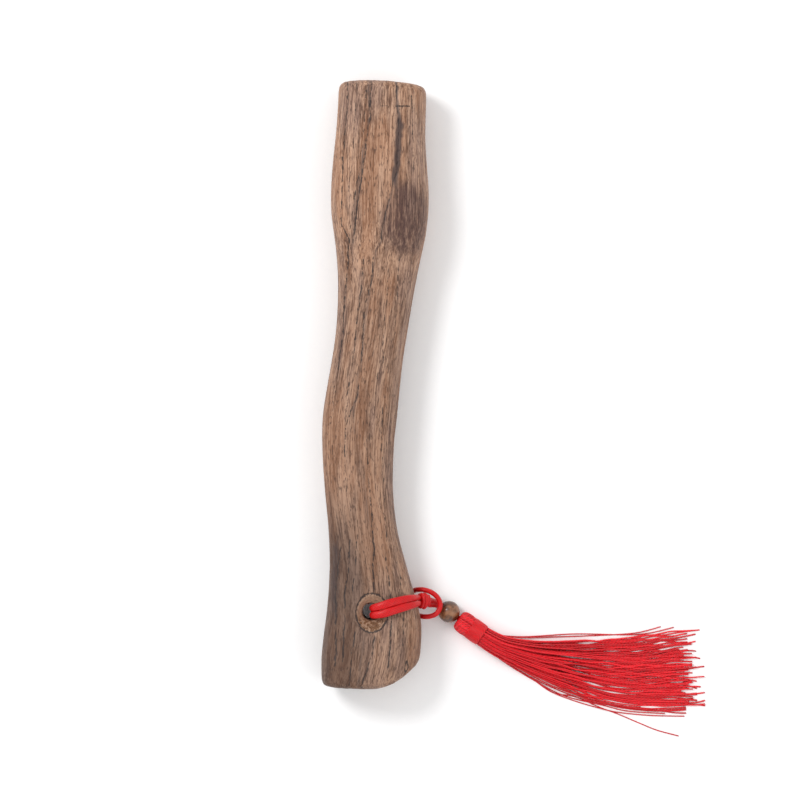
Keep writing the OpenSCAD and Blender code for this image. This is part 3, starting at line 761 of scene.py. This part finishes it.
tie_route = smooth_line([BEAD_AT + BEAD_WAY * 0.8 * MM, BEAD_AT + BEAD_WAY * 3.2 * MM, BEND_FROM, BEND_TO,
                         HEAD_AT + TASSEL_WAY * 2.6 * MM, HEAD_AT + TASSEL_WAY * 5.0 * MM], 1500)
tie_run = np.linspace(0, length_of(tie_route), len(tie_route)) / MM
tie_at = np.r_[np.linspace(*BEFORE_BEND), np.linspace(*IN_BEND),
               np.linspace(PAST_BEND_FROM, tie_run[-1], PAST_BEND_RINGS)]
tie_line = np.column_stack([np.interp(tie_at, tie_run, column) for column in tie_route.T])
tie_width, tie_depth = [np.interp(tie_at, TIE_SECTION[:, 0], column) * MM for column in TIE_SECTION.T[1:]]
tie = Tubes()
tie.add(tie_line, tie_width, tie_depth, sides=14, wide_way=LIFT_AXIS)
cord_end = tie.mesh("cord_end")
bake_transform(cord_end)
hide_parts("stopper_knot")
print("cord end", round(length_of(tie_line) / MM, 1), "mm")

# %% [markdown]
# The skirt's yarns leave the binding packed in a round and end as a flat fan on the table. Nothing may pass
# through anything else on the way, so the bundle is followed slice by slice: each yarn is moved a little,
# then all are pushed apart to a yarn's width and let down until they rest on the table or on each other.
# Silk yarns cling, so neighbours are also drawn into small locks, which opens slits that the paper shows in.

# %% Settle the skirt's yarns slice by slice
YARN_D = 0.68 * MM
YARNS = 102
SLICES = 58
SKIRT_START = HEAD_AT + TASSEL_WAY * (HEAD_LENGTH + BINDING_LENGTH)
SKIRT_ROUTE = [(0, 0, 0), (7, -4.2, 0), (14.4, -7.3, 0), (27, -11.2, 0), (41, -14.2, 0), (56, -16.8, 0),
               (72, -18.2, 0), (87, -18.0, 0), (99, -17.5, 0), (107, -17.3, 0)]
HALF_WIDTHS = [0.235, 0.285, 0.40, 0.56, 0.70, 0.82, 0.90, 0.96, 1.0, 1.02]
HEIGHTS = [9.6, 9.2, 8.4, 6.6, 5.2, 4.2, 3.6, 3.2, 3.0, 3.0]
FAN_HALF_W = 20.5 * MM
BUNDLE_R = 4.75 * MM
SETTLE_ROUNDS, PUSH_APART, SINK = 16, (0.30, 0.46), 0.02 * MM
LOWEST = YARN_D / 2 + 0.02 * MM
FLATTENS = 1.35
WAVE_SIZE, WAVE_RATES = 0.045 * MM, (1.1, 2.3, 3.6)
LOCK_WIDE, LOCK_LONG, LOCK_PULL = 2.4 * MM, 0.080, 1.15 * MM

middle = smooth_line(np.array(SKIRT_ROUTE, float) * MM, SLICES) + [SKIRT_START[0], SKIRT_START[1], 0]
run = np.linspace(0, 1, SLICES)
route_share = np.linspace(0, 1, len(SKIRT_ROUTE))
half_width = np.interp(run, route_share, HALF_WIDTHS) * FAN_HALF_W
height_limit = np.interp(run, route_share, HEIGHTS) * MM
way = unit(np.gradient(middle, axis=0))
way[0] = TASSEL_WAY
sideways = np.column_stack([-way[:, 1], way[:, 0], np.zeros(SLICES)])


def chaos(n):
    """A number from 0 to 1 that looks random but is always the same for the same n."""
    wild = np.sin(n * 12.9898 + 4.1) * 43758.5453
    return wild - np.floor(wild)


def lock_pull(x, share):
    """How far a yarn at x is drawn sideways into its lock. Locks come and go along the skirt."""
    across = x / LOCK_WIDE + 0.7 * math.sin(share * 9.0)
    row = np.floor(across)
    step_along = share / LOCK_LONG + chaos(row)
    lock = np.floor(step_along)
    strength = chaos(row * 7.0 + lock) * np.sin(math.pi * (step_along - lock)) ** 0.7
    return -LOCK_PULL * np.sin(2 * math.pi * across) * strength * min(1.0, 3.0 * max(0.0, share - 0.12))


place = np.arange(YARNS)
ring_r = BUNDLE_R * np.sqrt((place + 0.5) / YARNS)
ring_turn = place * math.pi * (3 - math.sqrt(5))
bundle = np.column_stack([ring_r * np.cos(ring_turn), TASSEL_Z + ring_r * np.sin(ring_turn)])
sway = [chance.normal(0, 1, (YARNS, 2)) for _ in WAVE_RATES]
settled = np.empty((SLICES, YARNS, 2))
for s in range(SLICES):
    if s:
        bundle[:, 0] *= half_width[s] / half_width[s - 1]
        flatter = (height_limit[s] / height_limit[s - 1]) ** FLATTENS
        bundle[:, 1] = YARN_D / 2 + (bundle[:, 1] - YARN_D / 2) * flatter
        wave = sum(amount[:, 0] * math.cos(rate * run[s] * 2 * math.pi + 1.7 * rate)
                   for rate, amount in zip(WAVE_RATES, sway))
        bundle[:, 0] += wave * WAVE_SIZE * (0.3 + run[s])
    for _ in range(SETTLE_ROUNDS):
        gap = bundle[:, None] - bundle[None]
        far = np.hypot(gap[..., 0], gap[..., 1])
        np.fill_diagonal(far, 1.0)
        close = np.clip(YARN_D - far, 0, None)
        bundle = bundle + PUSH_APART * (gap / far[..., None] * close[..., None]).sum(1)
        bundle[:, 0] = np.clip(bundle[:, 0], -half_width[s], half_width[s])
        bundle[:, 1] = np.maximum(bundle[:, 1] - SINK * run[s], LOWEST)
    settled[s] = bundle
    settled[s, :, 0] += lock_pull(bundle[:, 0], run[s])
for _ in range(3):
    settled[1:-1] = (settled[:-2] + 2 * settled[1:-1] + settled[2:]) / 4
print("skirt is", (settled[-1, :, 1].max() / MM).round(2), "mm high at its tips")

# %% [markdown]
# A yarn is cut with scissors a little longer or shorter than its neighbour, and the ends stray. Yarns are
# joined into four bundles by where they lie across the fan, which keeps each piece small enough to paint
# in detail, and a few fine fly-away hairs are listed one by one.

# %% The fly-away hairs
STRAY_D = 0.52 * MM
# Fly-away hairs, from the binding's end along the table, in millimetres
STRAYS = [
    [(0, -3.4, 5), (6, -9.0, 3.0), (14.6, -15.4, 1.2), (24, -20.9, 0.5), (34, -27.5, 0.4), (45, -29.6, 0.4),
     (56.6, -34.6, 0.4), (65, -37.7, 0.4), (76.4, -42.5, 0.4), (84.4, -45.7, 0.4), (94.6, -48.4, 0.4)],
    [(0, -3.2, 5), (8, -10.6, 2.6), (25.6, -21.6, 0.9), (33.6, -27.2, 0.9), (44.7, -31.6, 0.4),
     (56.6, -35.0, 0.9), (65.3, -37.0, 0.4), (80.4, -38.5, 0.4), (97.4, -38.9, 0.4)],
    [(0, -3.0, 5), (10, -12.0, 2.4), (28, -22.4, 1.2), (49.5, -31.2, 0.6), (60.5, -33.4, 0.4),
     (76.4, -34.6, 0.4)],
    [(0, -3.2, 4.5), (9, -11.6, 2.2), (26, -22.2, 0.6), (40, -29.2, 0.4), (58, -33.6, 0.4), (70, -36.4, 0.4),
     (88, -37.6, 0.4)],
    [(0, 2.6, 6), (8, 0.4, 4.0), (20.9, -0.6, 1.0), (44.7, 0.7, 0.4), (68.5, 0.3, 0.4), (80.4, 1.1, 0.4),
     (92.3, 3.9, 0.4)],
    [(0, 2.4, 6), (12, -0.6, 2.8), (30, -0.8, 0.7), (56, 0.0, 0.4), (74, 1.2, 0.4), (86, 4.2, 0.4)],
]
print(len(STRAYS), "hairs beside", YARNS, "yarns")

# %% The skirt's yarns
BUNDLES = 4
# Share of the route that a yarn reaches: its mean, its spread and its limits
CUT_MEAN, CUT_SPREAD, CUT_LIMITS = 0.945, 0.034, (0.82, 1.0)
END_SWAY, END_RINGS = 1.1, 8
UNDER_BINDING = 1.6 * MM

order = np.argsort(settled[-1, :, 0])
bundles = [Tubes() for _ in range(BUNDLES)]
for rank, yarn in enumerate(order):
    stop = int(SLICES * np.clip(chance.normal(CUT_MEAN, CUT_SPREAD), *CUT_LIMITS))
    flat = settled[:stop, yarn]
    line = middle[:stop] + sideways[:stop] * flat[:, :1]
    line[:, 2] = flat[:, 1]
    tail = ramp(np.arange(stop), stop - 1 - END_RINGS, stop - 1) ** 2
    line += sideways[:stop] * (tail * chance.normal(0, END_SWAY) * MM)[:, None]
    line[0] -= TASSEL_WAY * UNDER_BINDING
    bundles[rank * BUNDLES // YARNS].add(line, YARN_D * chance.uniform(0.9, 1.08), sides=6,
                                         tint=float(np.clip(chance.normal(0.5, 0.22), 0, 1)))
for route in STRAYS:
    line = smooth_line(SKIRT_START * (1, 1, 0) + np.array(route, float) * MM, 70)
    bundles[0 if route[0][1] < 0 else BUNDLES - 1].add(line, STRAY_D, sides=6, tint=0.25)
skirt_pieces = []
for number, tubes in enumerate(bundles, 1):
    piece = tubes.mesh(f"skirt_yarns_{number}")
    hand_over(piece, "tassel", "tassel_skirt")
    skirt_pieces.append(piece)

# %% [markdown]
# A material in Blender is a web of nodes, which is hard to read as code. The small class below wraps a
# node's output so that plain arithmetic on it adds the Math nodes.

# %% Shader arithmetic
class Value:
    """One number on its way through a material. Arithmetic on it adds Math nodes."""

    def __init__(self, paint, socket):
        self.paint, self.socket = paint, socket

    def math(self, operation, *others):
        numbers = dict(enumerate((self, *others)))
        return self.paint.node("ShaderNodeMath", {"operation": operation}, numbers)

    def after(self, operation, first):
        return self.paint.node("ShaderNodeMath", {"operation": operation}, {0: first, 1: self})

    def __add__(self, other):
        return self.math("ADD", other)

    def __radd__(self, other):
        return self.after("ADD", other)

    def __sub__(self, other):
        return self.math("SUBTRACT", other)

    def __rsub__(self, other):
        return self.after("SUBTRACT", other)

    def __mul__(self, other):
        return self.math("MULTIPLY", other)

    def __rmul__(self, other):
        return self.after("MULTIPLY", other)

    def __truediv__(self, other):
        return self.math("DIVIDE", other)

    def __rtruediv__(self, other):
        return self.after("DIVIDE", other)


# %% [markdown]
# Every other node comes from one method, which takes the node's type, its settings and its inputs. The rest
# of Paint gives names to what the finishes below do most: read a mask, stretch a noise, or mix in a colour.
# Only what changes over the surface is linked; a number that is the same all over is set on the shader.

# %% A material being mixed
class Paint:
    """A material being mixed."""

    def __init__(self, name):
        self.material = bpy.data.materials.new(name)
        self.material.use_nodes = True
        self.tree = self.material.node_tree
        self.shader = self.tree.nodes["Principled BSDF"]

    def node(self, kind, settings=None, inputs=None, output=0):
        made = self.tree.nodes.new(kind)
        for name, value in (settings or {}).items():
            setattr(made, name, value)
        for name, value in (inputs or {}).items():
            self.put(made.inputs[name], value)
        return Value(self, made.outputs[output])

    def put(self, socket, value):
        if isinstance(value, Value):
            self.tree.links.new(value.socket, socket)
        else:
            socket.default_value = value

    def mask(self, name):
        return self.node("ShaderNodeAttribute", {"attribute_name": name}, output="Fac")

    def noise(self, vector, scale, detail=4.0, roughness=0.55):
        stretched = self.node("ShaderNodeVectorMath", {"operation": "MULTIPLY"}, {0: vector, 1: scale})
        return self.node("ShaderNodeTexNoise", {"noise_dimensions": "3D"},
                         {"Vector": stretched, "Scale": 1.0, "Detail": detail, "Roughness": roughness}, "Fac")

    def between(self, value, low, high):
        """0 below low and 1 above high, with a soft step between."""
        return self.node("ShaderNodeMapRange", {"interpolation_type": "SMOOTHSTEP"},
                         {"Value": value, "From Min": low, "From Max": high})

    def mix(self, share, first, second, how="MIX"):
        return self.node("ShaderNodeMix", {"data_type": "RGBA", "blend_type": how},
                         {0: share, 6: first, 7: second}, 2)

    def finish(self, **sockets):
        for name, value in sockets.items():
            self.put(self.shader.inputs[name.replace("_", " ")], value)

    def bump(self, height, distance, strength=1.0):
        return self.node("ShaderNodeBump", {}, {"Height": height, "Distance": distance, "Strength": strength})


def rgb(red, green, blue):
    """A colour as painters write it, 0 to 255, turned into the linear light that Blender mixes."""
    linear = [((c / 255 + 0.055) / 1.055) ** 2.4 if c > 10 else c / 255 / 12.92 for c in (red, green, blue)]
    return (*linear, 1.0)


print("painter's mid grey is", round(rgb(128, 128, 128)[0], 3), "in linear light")

# %% [markdown]
# Oiled hardwood shows several sizes of grain at once: broad bands of tone, fibres a millimetre wide, hairs
# finer than that, and short dark dashes of pore. All are noise stretched along the grain's own coordinates,
# and a wider one drifts the hue between warm and grey. The masks then add what belongs to one place:
# cracks, mineral streaks, the pared bevel and a darkening down the wood, and painted light: painted shade
# over the bulge's tilted face and in the cord's bore, and a painted highlight along the step.

# %% Oiled hardwood
DEEP_BROWN, PALE_BROWN = rgb(98, 66, 48), rgb(189, 149, 122)
DARK_FIBRE, BRIGHT_HAIR = rgb(82, 56, 44), rgb(212, 176, 150)
HONEY, ASH_GREY, SHADE_AND_DARKENING = rgb(158, 104, 66), rgb(128, 104, 98), rgb(54, 32, 22)
BULGE_SHADE, STEP_HIGHLIGHT, MINERAL_AND_BORE_SHADE = rgb(74, 47, 41), rgb(190, 150, 122), rgb(58, 43, 42)
PARED, TORN_WOOD, PORE, CRACK = rgb(190, 154, 126), rgb(104, 66, 34), rgb(66, 45, 37), rgb(44, 31, 27)


def oiled_hardwood():
    wood = Paint("oiled_hardwood")
    grain = wood.node("ShaderNodeAttribute", {"attribute_name": "grain"}, output="Vector")
    bands = wood.noise(grain, (0.20, 0.008, 0.20), 3)
    fibres = wood.noise(grain, (0.95, 0.040, 0.95), 5, 0.7)
    hairs = wood.noise(grain, (2.1, 0.08, 2.1), 4, 0.65)
    dashes = wood.between(wood.noise(grain, (1.7, 0.30, 1.7), 2), 0.57, 0.68)
    mottle = wood.noise(grain, (0.9, 0.55, 0.9), 4)
    edge = wood.noise(grain, (1.2, 0.45, 1.2), 4)
    warmth = wood.noise(grain, (0.11, 0.016, 0.11), 3)
    tone = wood.between(0.24 * bands + 0.30 * fibres + 0.38 * hairs + 0.08 * mottle, 0.415, 0.585)
    # Mineral streaks, and painted shade in the cord's bore, which the streak mask also holds
    streaks_and_bore_shade = wood.between(wood.mask("streak") + 1.3 * (fibres - 0.5), 0.22, 0.80)
    crack = wood.between(wood.mask("crack") + 0.95 * (edge - 0.5), 0.62, 0.82)

    colour = wood.mix(tone, DEEP_BROWN, PALE_BROWN)
    for share, over in (
            (0.55 * wood.between(fibres, 0.45, 0.33), DARK_FIBRE),
            (0.30 * wood.between(hairs, 0.57, 0.70), BRIGHT_HAIR),
            (0.34 * wood.between(warmth, 0.46, 0.62), HONEY),
            (0.26 * wood.between(warmth, 0.50, 0.36), ASH_GREY),
            # painted shade in the cord's bore, and the wood darker below the head and at the left of the butt
            (0.72 * wood.mask("shade"), SHADE_AND_DARKENING),
            # painted shade over the right of the bulge
            (0.80 * wood.mask("patch") * (1.25 - 0.6 * tone), BULGE_SHADE),
            # painted highlight along the step, where the bulge's face turns down to the neck
            (0.30 * wood.mask("step"), STEP_HIGHLIGHT),
            # mineral streaks, and painted shade in the cord's bore
            (0.86 * streaks_and_bore_shade, MINERAL_AND_BORE_SHADE),
            (0.50 * wood.mask("bevel"), PARED),
            (0.90 * wood.mask("torn") * wood.between(mottle, 0.42, 0.54), TORN_WOOD),
            (0.68 * dashes, PORE),
            (0.90 * crack, CRACK)):
        colour = wood.mix(share, colour, over)
    relief = 0.4 * fibres + 0.5 * hairs - 0.4 * dashes
    wood.finish(Base_Color=colour, Roughness=0.52 + 0.22 * (1 - tone) + 0.10 * dashes,
                Normal=wood.bump(relief, 0.35 * MM, 0.9))
    return wood.material


carved_wood.data.materials.append(oiled_hardwood())
print("oiled hardwood:", len(carved_wood.active_material.node_tree.nodes), "nodes")

# %% [markdown]
# Satin cord is braided from silky threads that cross on the diagonal. Two helices run opposite ways in
# the tube's UVs, and the higher of them is the thread on top. Silk's bright edge comes from sheen. The
# colour is also painted lighter on raised threads and deeper in the grooves: painted highlight and shade.

# %% Satin cord, silk yarn and binding thread
def helix(paint, uv, start, pitch, strands):
    u, v = [paint.node("ShaderNodeSeparateXYZ", {}, {0: uv}, k) for k in (0, 1)]
    return (2 * math.pi * (u / pitch + strands * v + start)).math("SINE")


def silk(name, deep, bright, pitch, threads, crossed, roughness, shine, depth):
    """A dye from deep to bright, with painted highlight and shade on threads that wind round once in pitch
    millimetres.
    """
    thread = Paint(name)
    uv = thread.node("ShaderNodeUVMap", {"uv_map": "wound"})
    tint = thread.mask("tint")
    relief = helix(thread, uv, 9 * tint, pitch, threads)
    if crossed:
        relief = relief.math("MAXIMUM", helix(thread, uv, 9 * tint, pitch, -threads))
    relief = 0.5 + 0.5 * relief
    place = thread.node("ShaderNodeTexCoord", output="Object")
    uneven = thread.noise(place, (420.0, 420.0, 420.0), 3)
    # Painted highlight and shade: relief lightens raised threads and deepens grooves; tint and uneven vary
    # the dye.
    level = thread.between(0.36 * relief + 0.52 * tint + 0.42 * uneven, 0.30, 0.98)
    thread.finish(Base_Color=thread.mix(level, deep, bright), Roughness=roughness + 0.12 * (1 - level),
                  Normal=thread.bump(relief, depth), Specular_IOR_Level=shine, Sheen_Weight=0.08,
                  Sheen_Roughness=0.35, Sheen_Tint=rgb(255, 110, 100))
    return thread.material


satin_cord = silk("satin_cord", rgb(150, 3, 8), rgb(214, 8, 16), pitch=1.3, threads=8, crossed=True,
                  roughness=0.32, shine=0.34, depth=0.05 * MM)
silk_yarn = silk("silk_yarn", rgb(178, 8, 20), rgb(248, 24, 40), pitch=1.7, threads=2, crossed=False,
                 roughness=0.40, shine=0.5, depth=0.11 * MM)
binding_silk = silk("binding_silk", rgb(182, 8, 16), rgb(240, 22, 34), pitch=1.7, threads=2,
                    crossed=False, roughness=0.42, shine=0.5, depth=0.05 * MM)
for piece in (lanyard_bight, upper_strand, lower_strand, wrapped_knot, cord_end):
    piece.data.materials.append(satin_cord)
for piece in (yarn_head, *skirt_pieces):
    piece.data.materials.append(silk_yarn)
wound_binding.data.materials.append(binding_silk)
print("silk yarn:", len(silk_yarn.node_tree.nodes), "nodes")

# %% [markdown]
# The bead is mottled brown wood under a clear polish. Varnish could be a second shader mixed in by angle, but
# the shader's own coat does that already, so the wood stays rougher and the coat alone is glossy.

# %% The polished bead
def polished_brown():
    bead = Paint("polished_brown")
    place = bead.node("ShaderNodeTexCoord", output="Object")
    cloud = bead.noise(place, (210.0, 260.0, 210.0), 5, 0.62)
    fleck = bead.between(bead.noise(place, (900.0, 500.0, 900.0), 3), 0.56, 0.68)
    colour = bead.mix(bead.between(cloud, 0.38, 0.62), rgb(80, 47, 29), rgb(144, 96, 61))
    colour = bead.mix(0.6 * fleck, colour, rgb(56, 36, 26))
    bead.finish(Base_Color=colour, Roughness=0.40 + 0.14 * cloud, Normal=bead.bump(cloud, 0.05 * MM, 0.5),
                Coat_Weight=0.5, Coat_Roughness=0.10)
    return bead.material


polished_bead.data.materials.append(polished_brown())
print("polished bead:", len(polished_bead.active_material.node_tree.nodes), "nodes")

# %% [markdown]
# The table is matt white paper under soft light from all round, which keeps the shadows faint. The lamp
# at the upper left is the stronger one, so that the wood's ridges and the cord's highlights read. The paper
# doesn't glow by itself, so what shows through the cord hole is as dark as it is on a real table.

# %% Paper and light
PAPER = 6.0
PAPER_DROP = 0.05 * MM
SKY = 0.86
# Each lamp's place and size in metres, and its watts
KEY_AT, KEY_SIZE, KEY_WATTS = (-0.9, 0.7, 1.5), 0.6, 15
FILL_AT, FILL_SIZE, FILL_WATTS = (1.1, -0.5, 1.4), 1.2, 3


def paper():
    sheet = Paint("white_paper")
    place = sheet.node("ShaderNodeTexCoord", output="Object")
    tooth = sheet.noise(place, (300.0, 300.0, 300.0), 2)
    sheet.finish(Base_Color=sheet.mix(tooth, rgb(250, 250, 251), rgb(253, 253, 253)), Roughness=0.9)
    return sheet.material


table_mesh = bpy.data.meshes.new("table")
table_mesh.from_pydata([(-PAPER, -PAPER, 0), (PAPER, -PAPER, 0), (PAPER, PAPER, 0), (-PAPER, PAPER, 0)], [],
                       [(0, 1, 2, 3)])
table = bpy.data.objects.new("table", table_mesh)
table.location.z = -PAPER_DROP
bpy.context.scene.collection.objects.link(table)
table.data.materials.append(paper())


def soft_lamp(name, place, size, power):
    lamp = bpy.data.lights.new(name, "AREA")
    lamp.shape, lamp.size, lamp.energy = "DISK", size, power
    holder = bpy.data.objects.new(name, lamp)
    holder.location = place
    holder.rotation_mode = "QUATERNION"
    holder.rotation_quaternion = (-holder.location).to_track_quat("-Z", "Y")
    bpy.context.scene.collection.objects.link(holder)


soft_lamp("key_lamp", KEY_AT, KEY_SIZE, KEY_WATTS)
soft_lamp("fill_lamp", FILL_AT, FILL_SIZE, FILL_WATTS)
world = bpy.data.worlds.new("studio")
world.use_nodes = True
world.node_tree.nodes["Background"].inputs["Color"].default_value = (1, 1, 1, 1)
world.node_tree.nodes["Background"].inputs["Strength"].default_value = SKY
bpy.context.scene.world = world
print("lamps of", KEY_WATTS, "and", FILL_WATTS, "W under a sky of", SKY)
